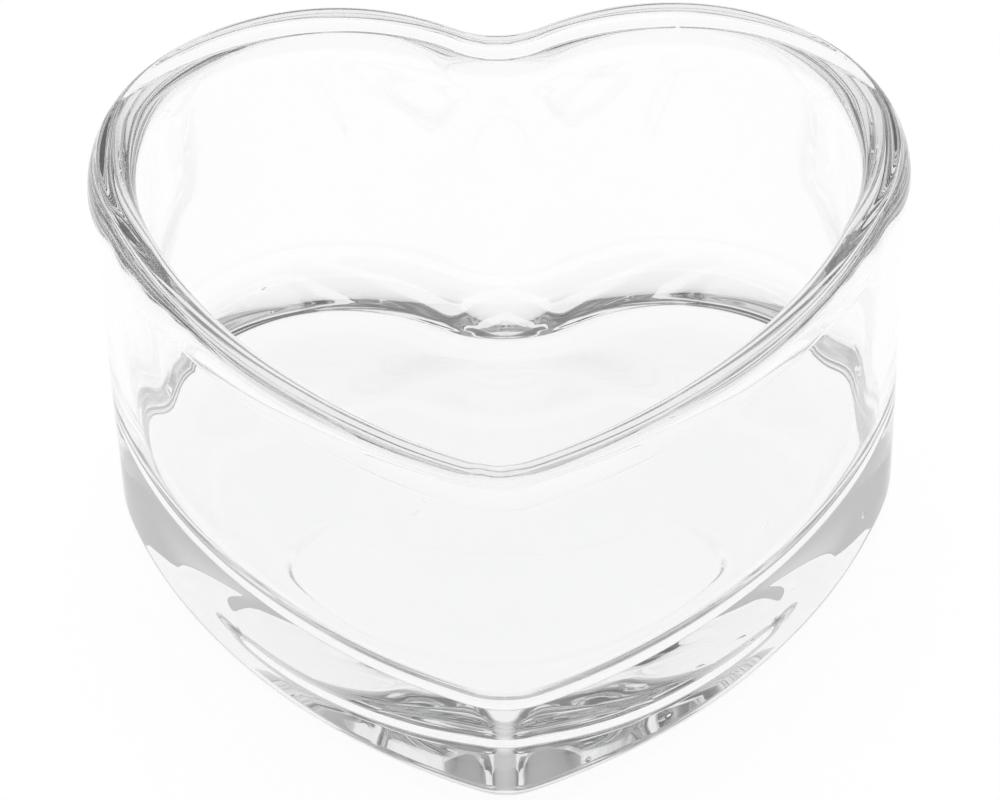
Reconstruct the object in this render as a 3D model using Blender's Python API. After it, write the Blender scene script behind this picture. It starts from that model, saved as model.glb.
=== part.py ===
"""Heart-shaped open glass dish, pressed in one piece.

Metres, +Z up, the heart's point towards -Y, origin on the table under the middle of the dish.
The wall is a stack of heart outlines, and every outline is the same heart moved inwards by some distance.
"""

import math

import bpy
import numpy as np

# Overall sizes, millimetres
WIDTH = 90.0
DEPTH = 80.0
HEIGHT = 50.5

# Heart outline of the rim, millimetres
LOBE_RADIUS = 26.5
FLANK_RADIUS = 75.0
POINT_RADIUS = 8.8
CLEFT_RADIUS = 8.2

# Wall and rounded lip, millimetres
WALL = 5.6
LIP_OUTER_REACH = 1.6
LIP_OUTER_DROP = 3.9
LIP_INNER_DROP = 4.7
LIP_OVERHANG = 0.35
LIP_STEP = 0.6

# Base, millimetres
BASE_THICKNESS = 11.4
OUTER_TAPER = 1.3
INNER_TAPER = 0.5
FLOOR_FILLET = 6.0
FOOT_REACH = 7.2
FOOT_RISE = 4.6

# Shallow round recess under the base, which runs out into the cleft, millimetres
RECESS_RADIUS = 26.5
RECESS_CENTRE_BACK = 8.8
RECESS_DEPTH = 0.8
RECESS_EDGE = 1.0
RECESS_SHARE = 0.95

# The hollow's own point is blunter than a plain inward copy of the outside would be
INNER_POINT_RADIUS = 6.4
LEAST_POINT_RADIUS = 1.6

# Spans along half of the outline: cleft, lobe, flank, point
ARC_SPANS = (5, 22, 12, 6)

# Spans along the section
FOOT_SPANS = 7
WALL_SPANS = 4
LIP_SPANS = 6
FILLET_SPANS = 8

MM = 0.001


def heart_centres():
    """Centres of the four arcs of the right half: cleft, lobe, flank and point."""
    lobe = np.array([WIDTH / 2 - LOBE_RADIUS, 0.0])
    point = np.array([0.0, LOBE_RADIUS - DEPTH + POINT_RADIUS])
    to_lobe = FLANK_RADIUS - LOBE_RADIUS
    to_point = FLANK_RADIUS - POINT_RADIUS
    gap = math.dist(lobe, point)
    along = (point - lobe) / gap
    step = (to_lobe**2 - to_point**2 + gap**2) / (2 * gap)
    side = math.sqrt(to_lobe**2 - step**2)
    flank = lobe + step * along - side * np.array([-along[1], along[0]])
    if flank[0] > lobe[0]:
        flank = lobe + step * along + side * np.array([-along[1], along[0]])
    cleft = np.array([0.0, math.sqrt((LOBE_RADIUS + CLEFT_RADIUS) ** 2 - lobe[0] ** 2)])
    return cleft, lobe, flank


def bearing(vector):
    """Direction of a vector as an angle from +X."""
    return math.atan2(vector[1], vector[0])


def arc(centre, radius, start, end, spans):
    """Points along an arc, without its last one, which begins the next arc."""
    turn = start + (end - start) * np.arange(spans) / spans
    return np.column_stack([centre[0] + radius * np.cos(turn), centre[1] + radius * np.sin(turn)])


def heart(inset, point_radius):
    """Closed heart outline moved inwards by inset, with a point of its own radius, centred on the dish."""
    cleft, lobe, flank = heart_centres()
    reach = FLANK_RADIUS - inset - point_radius
    point = np.array([0.0, flank[1] - math.sqrt(reach**2 - flank[0] ** 2)])
    lobe_start = bearing(cleft - lobe)
    lobe_end = bearing(lobe - flank)
    flank_end = bearing(point - flank)
    half = np.vstack(
        [
            arc(cleft, CLEFT_RADIUS + inset, -math.pi / 2, bearing(lobe - cleft), ARC_SPANS[0]),
            arc(lobe, LOBE_RADIUS - inset, lobe_start, lobe_end, ARC_SPANS[1]),
            arc(flank, FLANK_RADIUS - inset, lobe_end, flank_end, ARC_SPANS[2]),
            arc(point, point_radius, flank_end, -math.pi / 2, ARC_SPANS[3]),
            [[0.0, point[1] - point_radius]],
        ]
    )
    outline = np.vstack([half, (half[::-1] * [-1, 1])[1:-1]])
    outline[:, 1] += DEPTH / 2 - LOBE_RADIUS
    return outline


def outer_section():
    """Inset and height down the outside, from the table up to the top of the lip."""
    foot = [math.pi / 2 * k / FOOT_SPANS for k in range(FOOT_SPANS + 1)]
    low = LIP_OVERHANG + OUTER_TAPER
    steps = [(low + FOOT_REACH * (1 - math.sin(a)), FOOT_RISE * (1 - math.cos(a))) for a in foot]
    crease = HEIGHT - LIP_OUTER_DROP - LIP_STEP
    for k in range(1, WALL_SPANS + 1):
        share = k / WALL_SPANS
        steps.append((low - OUTER_TAPER * share, FOOT_RISE + (crease - FOOT_RISE) * share))
    lip = [math.pi / 2 * k / LIP_SPANS for k in range(LIP_SPANS + 1)]
    for a in lip:
        steps.append((LIP_OUTER_REACH * (1 - math.cos(a)), HEIGHT - LIP_OUTER_DROP * (1 - math.sin(a))))
    return steps


def inner_section():
    """Inset and height down the inside, from the top of the lip to the flat of the hollow's floor."""
    reach = WALL - LIP_OUTER_REACH
    lip = [math.pi / 2 * k / LIP_SPANS for k in range(1, LIP_SPANS + 1)]
    steps = [
        (LIP_OUTER_REACH + reach * math.sin(a), HEIGHT - LIP_INNER_DROP * (1 - math.cos(a)))
        for a in lip
    ]
    top = HEIGHT - LIP_INNER_DROP
    bottom = BASE_THICKNESS + FLOOR_FILLET
    for k in range(1, WALL_SPANS + 1):
        share = k / WALL_SPANS
        steps.append((WALL + INNER_TAPER * share, top + (bottom - top) * share))
    fillet = [math.pi / 2 * k / FILLET_SPANS for k in range(1, FILLET_SPANS + 1)]
    for a in fillet:
        inset = WALL + INNER_TAPER + FLOOR_FILLET * (1 - math.cos(a))
        steps.append((inset, bottom - FLOOR_FILLET * math.sin(a)))
    return steps


def outer_point(inset):
    """The outside's point tightens as the outline moves in, down to a small radius."""
    return max(POINT_RADIUS - inset, LEAST_POINT_RADIUS)


def inner_point(inset):
    """The hollow's point: blends from the lip's crest to its own radius, then tightens with the inset."""
    crest = outer_point(LIP_OUTER_REACH)
    share = min((inset - LIP_OUTER_REACH) / (WALL - LIP_OUTER_REACH), 1.0)
    blended = crest + (INNER_POINT_RADIUS - crest) * share
    return max(blended - max(inset - WALL, 0.0), LEAST_POINT_RADIUS)


def clear_of_recess(outline, height):
    """Heights of an outline under the dish, lifted where it runs through the round recess."""
    away = np.hypot(outline[:, 0], outline[:, 1] - RECESS_CENTRE_BACK)
    lift = RECESS_DEPTH * np.clip((RECESS_RADIUS - away) / RECESS_EDGE, 0.0, 1.0)
    return np.maximum(height, lift)


def recess_rings(outline):
    """Two outlines of the recess under the base: the edge of its roof, then its edge at the table."""
    centre = np.array([0.0, RECESS_CENTRE_BACK])
    spokes = outline - centre
    lengths = np.hypot(spokes[:, 0], spokes[:, 1])
    reach = np.minimum(RECESS_RADIUS, RECESS_SHARE * lengths)
    edge = centre + spokes * (reach / lengths)[:, None]
    roof = centre + spokes * ((reach - RECESS_EDGE) / lengths)[:, None]
    return [
        np.column_stack([roof, np.full(len(roof), RECESS_DEPTH)]),
        np.column_stack([edge, clear_of_recess(edge, 0.0)]),
    ]


def build_dish():
    """Skins the stacked outlines and closes the recessed underside and the flat floor of the hollow."""
    foot_inset = outer_section()[0][0]
    rings = recess_rings(heart(foot_inset, outer_point(foot_inset)))
    for inset, height in outer_section():
        outline = heart(inset, outer_point(inset))
        rings.append(np.column_stack([outline, clear_of_recess(outline, height)]))
    for inset, height in inner_section():
        outline = heart(inset, inner_point(inset))
        rings.append(np.column_stack([outline, np.full(len(outline), height)]))
    around = len(rings[0])
    middle = (0.0, RECESS_CENTRE_BACK)
    under = np.array([[*middle, RECESS_DEPTH]])
    floor = np.array([[*middle, BASE_THICKNESS]])
    points = np.vstack(rings + [under, floor]) * MM
    faces = []
    for level in range(len(rings) - 1):
        for k in range(around):
            a = level * around + k
            b = level * around + (k + 1) % around
            faces.append((a, a + around, b + around, b))
    last = (len(rings) - 1) * around
    for k in range(around):
        after = (k + 1) % around
        faces.append((len(points) - 2, k, after))
        faces.append((len(points) - 1, last + after, last + k))
    mesh = bpy.data.meshes.new("glass_dish")
    mesh.from_pydata(points.tolist(), [], faces)
    mesh.shade_smooth()
    dish = bpy.data.objects.new("glass_dish", mesh)
    bpy.context.scene.collection.objects.link(dish)
    return dish


def clear_glass():
    """Clear soda-lime glass with a fire-polished surface."""
    material = bpy.data.materials.new("clear_glass")
    material.use_nodes = True
    shader = material.node_tree.nodes["Principled BSDF"]
    shader.inputs["Base Color"].default_value = (0.95, 0.97, 0.96, 1.0)
    shader.inputs["Roughness"].default_value = 0.03
    shader.inputs["Transmission Weight"].default_value = 1.0
    shader.inputs["IOR"].default_value = 1.51
    return material


for old in list(bpy.data.objects):
    bpy.data.objects.remove(old, do_unlink=True)

dish = build_dish()
dish.data.materials.append(clear_glass())
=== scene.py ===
import math

import bpy
import numpy as np
from mathutils import Matrix, Vector


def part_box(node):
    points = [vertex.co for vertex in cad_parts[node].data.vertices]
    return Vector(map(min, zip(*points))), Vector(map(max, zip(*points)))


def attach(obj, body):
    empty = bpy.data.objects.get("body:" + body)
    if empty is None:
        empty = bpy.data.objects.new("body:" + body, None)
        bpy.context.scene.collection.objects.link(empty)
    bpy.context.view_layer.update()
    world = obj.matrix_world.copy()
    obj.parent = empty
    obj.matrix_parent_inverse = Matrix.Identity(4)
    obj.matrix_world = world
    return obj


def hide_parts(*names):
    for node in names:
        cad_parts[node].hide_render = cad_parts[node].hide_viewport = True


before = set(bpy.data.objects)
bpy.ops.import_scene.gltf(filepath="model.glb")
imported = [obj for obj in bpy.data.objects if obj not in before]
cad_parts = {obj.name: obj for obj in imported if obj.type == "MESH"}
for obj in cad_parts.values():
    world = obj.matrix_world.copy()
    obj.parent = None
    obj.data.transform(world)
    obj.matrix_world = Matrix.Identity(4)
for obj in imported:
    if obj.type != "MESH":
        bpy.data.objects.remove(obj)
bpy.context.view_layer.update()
print("frame loaded:", sorted(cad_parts))

low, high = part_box("glass_dish")
width = high.x - low.x
depth = high.y - low.y
height = high.z - low.z

# sizes in metres; the outline's radii follow the overall width
dish = {
    "lobeRadius": 0.2944 * width,  # the two round shoulders of the heart
    "flankRadius": 0.8333 * width,  # the long sides running down to the point
    "pointRadius": 0.0978 * width,
    "cleftRadius": 0.0911 * width,
    "wall": 0.0056,
    "lipOuterReach": 0.0016,
    "lipOuterDrop": 0.0039,
    "lipInnerDrop": 0.0047,
    "lipOverhang": 0.00035,
    "lipStep": 0.0007,  # height over which the lip steps out from the wall
    "crease": 0.00014,  # depth of the thin line pressed under the lip
    "outerTaper": 0.0013,
    "innerTaper": 0.0005,
    "base": 0.0114,
    "fillet": 0.0060,
    "footReach": 0.0072,
    "footRise": 0.0046,
    "innerPoint": 0.0064,
    "leastPoint": 0.0016,
    "recessRadius": 0.0265,
    "recessBack": 0.0088,
    "recessDepth": 0.0008,
    "recessShare": 0.95,  # of the way from its middle to the outline, where the circle is wider
    "recessEdge": 0.0010,  # width of its edge towards the point
    "recessSoft": 0.0120,  # and at the sides, where it fades out
    "recessBackEdge": 0.0075,  # and beside the cleft
    "crispTo": 0.55,  # where these widths blend, as the sine of the bearing from its middle
    "crispBlend": 0.5,
    "backFrom": 0.55,
    "backBlend": 0.3,
    "around": 480,  # points round each heart outline
    "arcPoints": 260,  # points on each arc before they are spread evenly
    "finePoints": 4096,
    "soften": 0.0009,  # how far curvature is blended where two arcs of the outline meet
    "softenPoint": 0.35,  # and at most this share of the point's radius
    "waves": 0.00011,  # height of the slow ripples left by pressing
    # each ripple: strength, then radians per mm along x, y and height, then its start
    "ripples": (
        (1.0, 0.16, 0.09, 0.11, 0.6),
        (0.7, -0.12, 0.21, 0.17, 2.1),
        (0.4, 0.29, -0.08, 0.24, 4.0),
        (0.3, 0.12, 0.33, -0.21, 1.3),
    ),
    "rippleSpan": 2.6,  # what their sum is divided by
    "waveRoom": 1.05,  # share of that height by which the wall is drawn in, to keep the overall size
    "waveFoot": 0.004,  # the ripples fade out below this height
    "waveLip": 0.35,  # and have this share of their strength on the lip
    "stillAbove": 0.001,  # the hollow has none in the last millimetre above its floor
    "liftBelow": 0.02,  # the recess lifts only the foot
    "leastEdge": 0.001,
    "firstRing": 0.05,  # the smallest ring round the middle of the underside, as a share
    "lastRing": 0.03,  # and of the floor
    "floorSag": 0.00003,
    "sagAcross": 160,  # radians per metre
    "sagAlong": 90,
    "seamHeight": 0.00016,  # mould seam over the lip at the point
    "seamWidth": 0.0007,
    "seamLeft": 0.0016,  # it sits a little left of the point
    "seamDrop": 0.0042,  # and fades down the lip
    "seamReach": 0.02,  # the lip is lowered beside it out to here
    "seamFade": 0.01,
    # rows of faces on each stretch of the section
    "footSpans": 16,
    "outsideSpans": 33,
    "lipStepSpans": 9,
    "lipOuterSpans": 18,
    "lipInnerSpans": 20,
    "insideSpans": 29,
    "filletSpans": 14,
    "recessSpans": 14,
    "recessEdgeSpans": 14,
    "standingSpans": 6,  # on the band that stands on the table
    "floorSpans": 25,
}
mmPerMetre = 1000


def arcCentres(d):
    # cleft, lobe and flank circles touch each other, so their centres lie on shared normals
    lobe = np.array([width / 2 - d["lobeRadius"], 0.0])
    point = np.array([0.0, d["lobeRadius"] - depth + d["pointRadius"]])
    toLobe = d["flankRadius"] - d["lobeRadius"]
    toPoint = d["flankRadius"] - d["pointRadius"]
    gap = math.dist(lobe, point)
    along = (point - lobe) / gap
    step = (toLobe**2 - toPoint**2 + gap**2) / (2 * gap)
    side = math.sqrt(toLobe**2 - step**2) * np.array([-along[1], along[0]])
    flank = min((lobe + step * along + side, lobe + step * along - side), key=lambda c: c[0])
    cleft = np.array([0.0, math.sqrt((d["lobeRadius"] + d["cleftRadius"]) ** 2 - lobe[0] ** 2)])
    return cleft, lobe, flank


centres = arcCentres(dish)


def heartOutline(d, inset, pointRadius):
    # half outline = cleft arc, lobe arc, flank arc, point arc, each c + r (cos t, sin t),
    # every radius changed by the inset; then mirrored, and spread evenly by arc length
    cleft, lobe, flank = centres
    reach = d["flankRadius"] - inset - pointRadius
    point = np.array([0.0, flank[1] - math.sqrt(reach**2 - flank[0] ** 2)])

    def bearing(v):
        return math.atan2(v[1], v[0])

    arcs = (
        (cleft, d["cleftRadius"] + inset, -math.pi / 2, bearing(lobe - cleft)),
        (lobe, d["lobeRadius"] - inset, bearing(cleft - lobe), bearing(lobe - flank)),
        (flank, d["flankRadius"] - inset, bearing(lobe - flank), bearing(point - flank)),
        (point, pointRadius, bearing(point - flank), -math.pi / 2),
    )
    half = []
    for centre, radius, start, end in arcs:
        turn = np.linspace(start, end, d["arcPoints"])[:-1]
        x, y = centre[0] + radius * np.cos(turn), centre[1] + radius * np.sin(turn)
        half.append(np.column_stack([x, y]))
    half = np.vstack(half + [np.array([[0.0, point[1] - pointRadius]])])
    full = np.vstack([half, (half[::-1] * [-1, 1])[1:-1]])
    z = full[:, 0] + 1j * full[:, 1]
    run = np.concatenate([[0], np.cumsum(np.abs(np.roll(z, -1) - z))])
    closed = np.append(z, z[0])
    many = d["finePoints"]
    even = np.linspace(0, run[-1], many, endpoint=False)
    z = np.interp(even, run, closed.real) + 1j * np.interp(even, run, closed.imag)
    # a Gaussian blend along the outline turns the jumps of curvature into soft changes
    turns = np.fft.fftfreq(many, run[-1] / many) * 2 * np.pi
    blend = min(d["soften"], pointRadius * d["softenPoint"])
    soft = np.fft.ifft(np.fft.fft(z) * np.exp(-0.5 * (turns * blend) ** 2))
    picked = soft[(np.arange(d["around"]) * many) // d["around"]]
    return picked + 1j * (depth / 2 - d["lobeRadius"])


def smooth(t):
    # 3 t^2 - 2 t^3, held at 0 and 1 outside
    t = np.clip(t, 0, 1)
    return t * t * (3 - 2 * t)


def evenSteps(count):
    # count steps from 0 to 1, without the 0
    return np.linspace(0, 1, count + 1)[1:]


def quarterTurn(count):
    # count steps of a quarter turn, without its start
    return np.arange(1, count + 1) / count * math.pi / 2


def sectionSteps(d):
    # the wall's section as rows of (inset, height, part), part 0 outside, 1 lip, 2 inside
    lowInset = d["lipOverhang"] + d["outerTaper"]
    shoulder = height - d["lipOuterDrop"]
    under = shoulder - d["lipStep"]
    rows = []
    # the foot's quarter ellipse, then the tapered outside
    for t in np.concatenate([[0.0], quarterTurn(d["footSpans"])]):
        inset = lowInset + d["footReach"] * (1 - math.sin(t))
        rows.append((inset, d["footRise"] * (1 - math.cos(t)), 0))
    for s in evenSteps(d["outsideSpans"]):
        rows.append((lowInset - d["outerTaper"] * s, d["footRise"] + (under - d["footRise"]) * s, 0))
    # a short concave step with a thin line in it, then the outer half of the lip as an ellipse
    for s in evenSteps(d["lipStepSpans"]):
        inset = d["lipOverhang"] * (1 - smooth(s)) + d["crease"] * math.sin(math.pi * s) ** 2
        rows.append((inset, under + (shoulder - under) * s, 0))
    for t in quarterTurn(d["lipOuterSpans"]):
        drop = d["lipOuterDrop"] * (1 - math.sin(t))
        rows.append((d["lipOuterReach"] * (1 - math.cos(t)), height - drop, 1))
    # the inner half of the lip, the tapered inside, and the fillet down to the floor
    reach = d["wall"] - d["lipOuterReach"]
    for t in quarterTurn(d["lipInnerSpans"]):
        drop = d["lipInnerDrop"] * (1 - math.cos(t))
        rows.append((d["lipOuterReach"] + reach * math.sin(t), height - drop, 1))
    top = height - d["lipInnerDrop"]
    bottom = d["base"] + d["fillet"]
    for s in evenSteps(d["insideSpans"]):
        rows.append((d["wall"] + d["innerTaper"] * s, top + (bottom - top) * s, 2))
    for t in quarterTurn(d["filletSpans"]):
        inset = d["wall"] + d["innerTaper"] + d["fillet"] * (1 - math.cos(t))
        rows.append((inset, bottom - d["fillet"] * math.sin(t), 2))
    return rows


def pointRadiusAt(d, inset, onInside):
    # outside: the point tightens with the inset; inside: it blends to the hollow's own blunter point
    if not onInside:
        return max(d["pointRadius"] - inset, d["leastPoint"])
    crest = max(d["pointRadius"] - d["lipOuterReach"], d["leastPoint"])
    share = min((inset - d["lipOuterReach"]) / (d["wall"] - d["lipOuterReach"]), 1.0)
    blended = crest + (d["innerPoint"] - crest) * share
    return max(blended - max(inset - d["wall"], 0.0), d["leastPoint"])


def ripple(grid, heights, d):
    # a sum of sines in x, y and height, with lengths of 15 to 30 mm
    total = 0.0
    for strength, alongX, alongY, alongZ, begin in d["ripples"]:
        run = alongX * grid.real + alongY * grid.imag + alongZ * heights
        total = total + strength * np.sin(run * mmPerMetre + begin)
    return d["waves"] * total / d["rippleSpan"]


def seamDip(rings, heights, d):
    # the lip is lowered on both sides of a narrow Gaussian ridge, at the heart's point only
    lipShare = np.exp(-(((heights - height) / d["seamDrop"]) ** 2))
    ridge = np.exp(-(((rings.real + d["seamLeft"]) / d["seamWidth"]) ** 2))
    nearPoint = np.clip((d["seamReach"] - np.abs(rings.real)) / d["seamFade"], 0, 1)
    return d["seamHeight"] * (1 - ridge) * lipShare * nearPoint * (rings.imag < 0)


def glassGrid(d):
    # ring k = heart outline at the section's k-th inset and height, moved along its normal by
    # the ripples and lowered beside the mould seam
    rows = sectionSteps(d)
    insets, levels, part = np.array(rows).T
    crestRow = int(np.argmax(levels))
    rings = []
    for k, inset in enumerate(insets):
        rings.append(heartOutline(d, inset, pointRadiusAt(d, inset, k > crestRow)))
    rings = np.array(rings)
    heights = np.repeat(levels[:, None], d["around"], 1)
    onLip = part[:, None] == 1
    onInside = np.arange(len(rows))[:, None] > crestRow
    # unit normal of each outline, pointing away from the glass's middle
    ahead = np.roll(rings, -1, 1) - np.roll(rings, 1, 1)
    out = 1j * ahead / np.abs(ahead)
    # ripples push the wall's two faces inwards only, so the overall size is kept
    push = ripple(rings, heights, d) - d["waveRoom"] * d["waves"]
    fade = np.clip(heights / d["waveFoot"], 0, 1) * np.where(onLip, d["waveLip"], 1.0)
    still = onInside & (heights < d["base"] + d["stillAbove"])
    rings = rings + out * np.where(onInside, -1.0, 1.0) * push * fade * np.where(still, 0.0, 1.0)
    return rings, heights - seamDip(rings, heights, d) * onLip


def edgeWidth(unit, d):
    # width by bearing: crisp towards the point, faint at the sides, middling beside the cleft
    faint = smooth((unit.imag + d["crispTo"]) / d["crispBlend"])
    back = smooth((unit.imag - d["backFrom"]) / d["backBlend"])
    sides = d["recessEdge"] + (d["recessSoft"] - d["recessEdge"]) * faint
    return sides + (d["recessBackEdge"] - d["recessSoft"]) * back


def recessLift(grid, d):
    # height of the round recess: smooth((radius - distance from its middle) / edge width)
    spokes = grid - 1j * d["recessBack"]
    away = np.abs(spokes) + 1e-9
    return d["recessDepth"] * smooth((d["recessRadius"] - away) / edgeWidth(spokes / away, d))


def underside(outline, d):
    # spokes from the middle of the round recess out to the band that stands on the table
    centre = 1j * d["recessBack"]
    spokes = outline - centre
    lengths = np.abs(spokes)
    unit = spokes / lengths
    reach = np.minimum(d["recessRadius"], d["recessShare"] * lengths)
    start = np.minimum(d["recessRadius"] - edgeWidth(unit, d), reach - d["leastEdge"])
    radii = [start * s for s in np.linspace(d["firstRing"], 1, d["recessSpans"])]
    radii += [start + (reach - start) * s for s in evenSteps(d["recessEdgeSpans"])]
    radii += [reach + (lengths - reach) * s for s in evenSteps(d["standingSpans"])[:-1]]
    return np.array([centre + unit * r for r in radii])


def hollowFloor(outline, d):
    # the fillet's last outline shrunk towards the middle; it sags less than a tenth of a millimetre
    centre = 1j * d["recessBack"]
    shares = np.linspace(1, d["lastRing"], d["floorSpans"] + 1)[1:]
    grid = np.array([centre + (outline - centre) * s for s in shares])
    sag = 1 + np.sin(grid.real * d["sagAcross"] + grid.imag * d["sagAlong"])
    return grid, d["base"] + d["floorSag"] * sag


def glassMesh(d):
    # points (x, y, height) of the underside, wall and floor rings, each joined to the next
    rings, heights = glassGrid(d)
    underGrid = underside(rings[0], d)
    floorGrid, floorHeights = hollowFloor(rings[-1], d)
    # where the recess runs out into the cleft, the foot is lifted with it
    lifted = np.maximum(heights, recessLift(rings, d))
    heights = np.where(heights < d["liftBelow"], lifted, heights)
    grid = np.vstack([underGrid, rings, floorGrid])
    tall = np.vstack([recessLift(underGrid, d), heights, floorHeights])
    count, around = grid.shape
    points = np.stack([grid.real, grid.imag, tall], -1).reshape(-1, 3)
    middles = [[0, d["recessBack"], d["recessDepth"]], [0, d["recessBack"], floorHeights[-1].mean()]]
    points = np.vstack([points, middles])
    i = (np.arange(count - 1) * around)[:, None]
    j = np.arange(around)[None, :]
    after = (j + 1) % around
    quads = np.stack([i + j, i + around + j, i + around + after, i + after], -1).reshape(-1, 4)
    # the underside and the floor each close on one middle point
    lowMiddle, highMiddle = count * around, count * around + 1
    j = j.ravel()
    after = after.ravel()
    last = (count - 1) * around
    lowFan = np.stack([np.full(around, lowMiddle), j, after], -1)
    highFan = np.stack([np.full(around, highMiddle), last + after, last + j], -1)
    return points, quads, np.vstack([lowFan, highFan])


def meshFrom(name, points, quads, fans):
    mesh = bpy.data.meshes.new(name)
    mesh.from_pydata(points, [], quads.tolist() + fans.tolist())
    mesh.shade_smooth()
    mesh.update()
    return mesh


class Socket:
    # one output socket; + - * build Math nodes around it
    def __init__(self, tree, socket):
        self.tree = tree
        self.socket = socket

    def math(self, kind, other=None):
        node = self.tree.nodes.new("ShaderNodeMath")
        node.operation = kind
        for k, value in enumerate((self, other)):
            if isinstance(value, Socket):
                self.tree.links.new(value.socket, node.inputs[k])
            elif value is not None:
                node.inputs[k].default_value = value
        return Socket(self.tree, node.outputs[0])

    def __add__(self, other):
        return self.math("ADD", other)

    def __mul__(self, other):
        return self.math("MULTIPLY", other)

    def __sub__(self, other):
        return self.math("SUBTRACT", other)

    def __rsub__(self, other):
        return (self * -1.0) + other

    __radd__ = __add__
    __rmul__ = __mul__


glassLook = {
    "ior": 1.51,
    "roughness": 0.0,
    "tint": (0.996, 0.998, 0.998, 1.0),
    "kept": (0.55, 0.55 + 0.012, 0.55 + 0.004, 1.0),  # share of light kept by the absorption
    "absorption": 3.8,  # per metre
    "dragScale": 60.0,  # faint drag marks, drawn out along the height
    "dragStretch": (1.0, 1.0, 0.45),
    "dragDetail": 1.0,
    "dragHeight": 0.05,  # mm
    "seedScale": 160.0,  # tiny open seeds
    "seedRadius": 0.09,
    "seedSteep": 11.0,
    "seedDepth": 0.1,  # mm
    "seedPatches": 70.0,  # they come in patches, where this noise is above the next value
    "patchFrom": 0.60,
    "patchBlend": 0.05,
    "bumpUnit": 0.001,
}


def clearGlass(look):
    # height = dragHeight noise - seedDepth pit patch, with
    # pit = seedSteep max(seedRadius - distance, 0), patch = clamp(noise - patchFrom) / patchBlend
    material = bpy.data.materials.new("clearGlass")
    material.use_nodes = True
    tree = material.node_tree
    shader = tree.nodes["Principled BSDF"]
    shader.inputs["Base Color"].default_value = look["tint"]
    shader.inputs["Roughness"].default_value = look["roughness"]
    shader.inputs["IOR"].default_value = look["ior"]
    shader.inputs["Transmission Weight"].default_value = 1.0
    dim = tree.nodes.new("ShaderNodeVolumeAbsorption")
    dim.inputs["Color"].default_value = look["kept"]
    dim.inputs["Density"].default_value = look["absorption"]
    tree.links.new(dim.outputs["Volume"], tree.nodes["Material Output"].inputs["Volume"])
    place = tree.nodes.new("ShaderNodeTexCoord")

    def noise(scale, stretch, detail):
        turn = tree.nodes.new("ShaderNodeMapping")
        turn.inputs["Scale"].default_value = stretch
        tree.links.new(place.outputs["Object"], turn.inputs["Vector"])
        node = tree.nodes.new("ShaderNodeTexNoise")
        node.inputs["Scale"].default_value = scale
        node.inputs["Detail"].default_value = detail
        tree.links.new(turn.outputs["Vector"], node.inputs["Vector"])
        return Socket(tree, node.outputs["Fac"])

    drag = noise(look["dragScale"], look["dragStretch"], look["dragDetail"])
    cells = tree.nodes.new("ShaderNodeTexVoronoi")
    cells.inputs["Scale"].default_value = look["seedScale"]
    tree.links.new(place.outputs["Object"], cells.inputs["Vector"])
    distance = Socket(tree, cells.outputs["Distance"])
    pit = (look["seedRadius"] - distance).math("MAXIMUM", 0.0) * look["seedSteep"]
    spread = noise(look["seedPatches"], (1.0, 1.0, 1.0), 0.0) - look["patchFrom"]
    rare = spread.math("MAXIMUM", 0.0).math("MINIMUM", look["patchBlend"])
    patch = rare * (1 / look["patchBlend"])
    shape = drag * look["dragHeight"] - pit * patch * look["seedDepth"]
    bump = tree.nodes.new("ShaderNodeBump")
    bump.inputs["Strength"].default_value = 1.0
    bump.inputs["Distance"].default_value = look["bumpUnit"]
    tree.links.new(shape.socket, bump.inputs["Height"])
    tree.links.new(bump.outputs["Normal"], shader.inputs["Normal"])
    return material


glass = bpy.data.objects.new("glassDish", meshFrom("glassDish", *glassMesh(dish)))
bpy.context.scene.collection.objects.link(glass)
glass.data.materials.append(clearGlass(glassLook))
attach(glass, "root")
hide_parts("glass_dish")
print("glass dish made:", len(glass.data.polygons), "faces")


studio = {
    "table": (0.22, 0.22, 0.22, 1.0),
    "tableGlow": 0.90,
    "tableHalf": 3.0,
    "tableRoughness": 0.9,
    "floorDrop": 0.00015,
    "sky": ((0.0, 0.94), (0.10, 0.74), (0.40, 0.56), (0.68, 0.60), (0.90, 0.96)),
    "sideShade": 0.62,  # how much darker the room is to the left and right
    "sidePower": 1.5,
    "frontShade": 0.70,  # and towards the camera
}


def paleTable(look):
    half, z = look["tableHalf"], -look["floorDrop"]
    corners = [(-half, -half, z), (half, -half, z), (half, half, z), (-half, half, z)]
    mesh = bpy.data.meshes.new("table")
    mesh.from_pydata(corners, [], [(0, 1, 2, 3)])
    table = bpy.data.objects.new("table", mesh)
    bpy.context.scene.collection.objects.link(table)
    material = bpy.data.materials.new("paleTable")
    material.use_nodes = True
    shader = material.node_tree.nodes["Principled BSDF"]
    shader.inputs["Base Color"].default_value = look["table"]
    shader.inputs["Roughness"].default_value = look["tableRoughness"]
    shader.inputs["Specular IOR Level"].default_value = 0.0
    shader.inputs["Emission Color"].default_value = (1, 1, 1, 1)
    shader.inputs["Emission Strength"].default_value = look["tableGlow"]
    mesh.materials.append(material)


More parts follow.
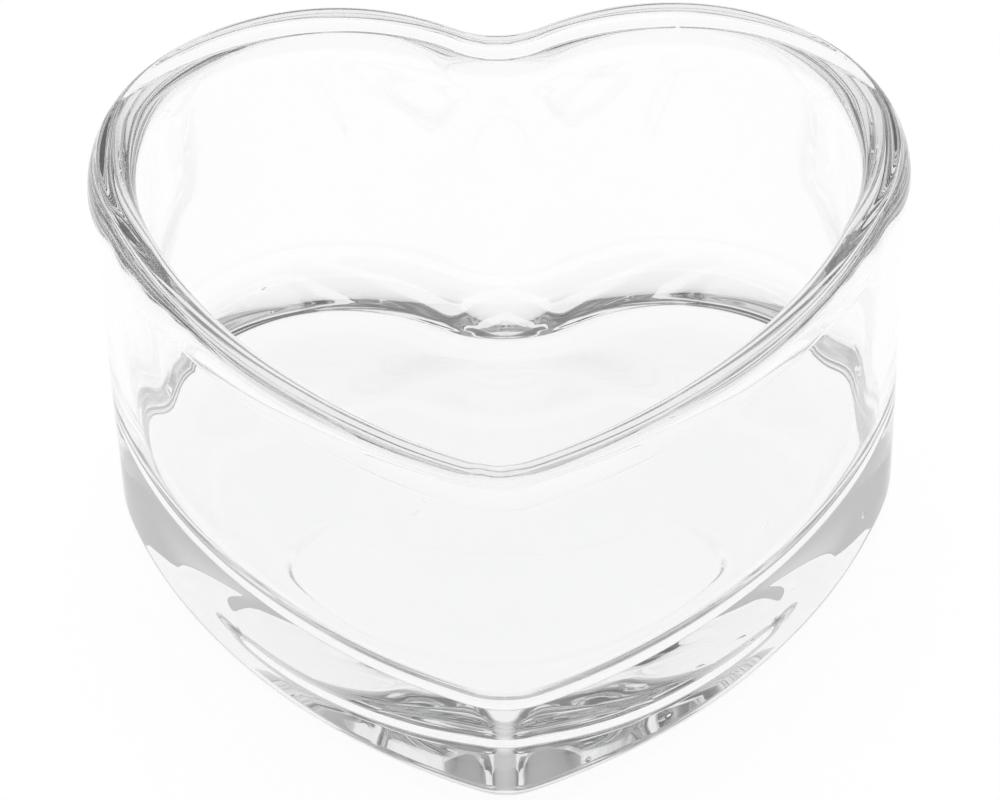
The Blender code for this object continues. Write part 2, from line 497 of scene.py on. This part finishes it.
def paleRoom(look):
    # colour = ramp(z), brightness = 1 - sideShade |x|^sidePower - frontShade max(-y, 0)
    world = bpy.data.worlds.new("paleRoom")
    bpy.context.scene.world = world
    world.use_nodes = True
    tree = world.node_tree
    tree.nodes.clear()
    end = tree.nodes.new("ShaderNodeOutputWorld")
    back = tree.nodes.new("ShaderNodeBackground")
    place = tree.nodes.new("ShaderNodeTexCoord")
    parts = tree.nodes.new("ShaderNodeSeparateXYZ")
    ramp = tree.nodes.new("ShaderNodeValToRGB")
    tree.links.new(place.outputs["Generated"], parts.inputs[0])
    tree.links.new(parts.outputs["Z"], ramp.inputs[0])
    tree.links.new(ramp.outputs[0], back.inputs[0])
    x = Socket(tree, parts.outputs["X"]).math("ABSOLUTE").math("POWER", look["sidePower"])
    y = (Socket(tree, parts.outputs["Y"]) * -1.0).math("MAXIMUM", 0.0)
    level = 1.0 - x * look["sideShade"] - y * look["frontShade"]
    tree.links.new(level.socket, back.inputs[1])
    tree.links.new(back.outputs[0], end.inputs[0])
    stops = ramp.color_ramp.elements
    while len(stops) < len(look["sky"]):
        stops.new(0.5)
    for stop, (position, value) in zip(stops, look["sky"]):
        stop.position = position
        stop.color = (value, value, value, 1)


view = {
    "distance": 0.951,
    "elevation": 42.1,
    "azimuth": 0.96,
    "roll": -1.55,
    "lens": 310.2,
    "sensor": 36,
    "clipStart": 0.02,
    "target": Vector((-0.0044 * width, 0.062 * width, 0.236 * width)),
    "lightSteps": 40,  # light runs a long way inside clear glass before it leaves
}


def placeCamera(v):
    e, a, r = (math.radians(v[k]) for k in ("elevation", "azimuth", "roll"))
    back = Vector((math.sin(a) * math.cos(e), -math.cos(a) * math.cos(e), math.sin(e)))
    right = Vector((math.cos(a), math.sin(a), 0))
    up = back.cross(right)
    across = right * math.cos(r) + up * math.sin(r)
    upright = up * math.cos(r) - right * math.sin(r)
    camera = bpy.data.objects.new("camera", bpy.data.cameras.new("camera"))
    bpy.context.scene.collection.objects.link(camera)
    matrix = Matrix((across, upright, back)).transposed().to_4x4()
    matrix.translation = v["target"] + back * v["distance"]
    camera.matrix_world = matrix
    camera.data.lens = v["lens"]
    camera.data.sensor_width = v["sensor"]
    camera.data.clip_start = v["clipStart"]
    bpy.context.scene.camera = camera


paleTable(studio)
paleRoom(studio)
placeCamera(view)
scene = bpy.context.scene
scene.view_settings.view_transform = "Standard"
scene.cycles.max_bounces = view["lightSteps"]
scene.cycles.transmission_bounces = view["lightSteps"]
scene.cycles.glossy_bounces = view["lightSteps"]
print("table, light and camera placed")
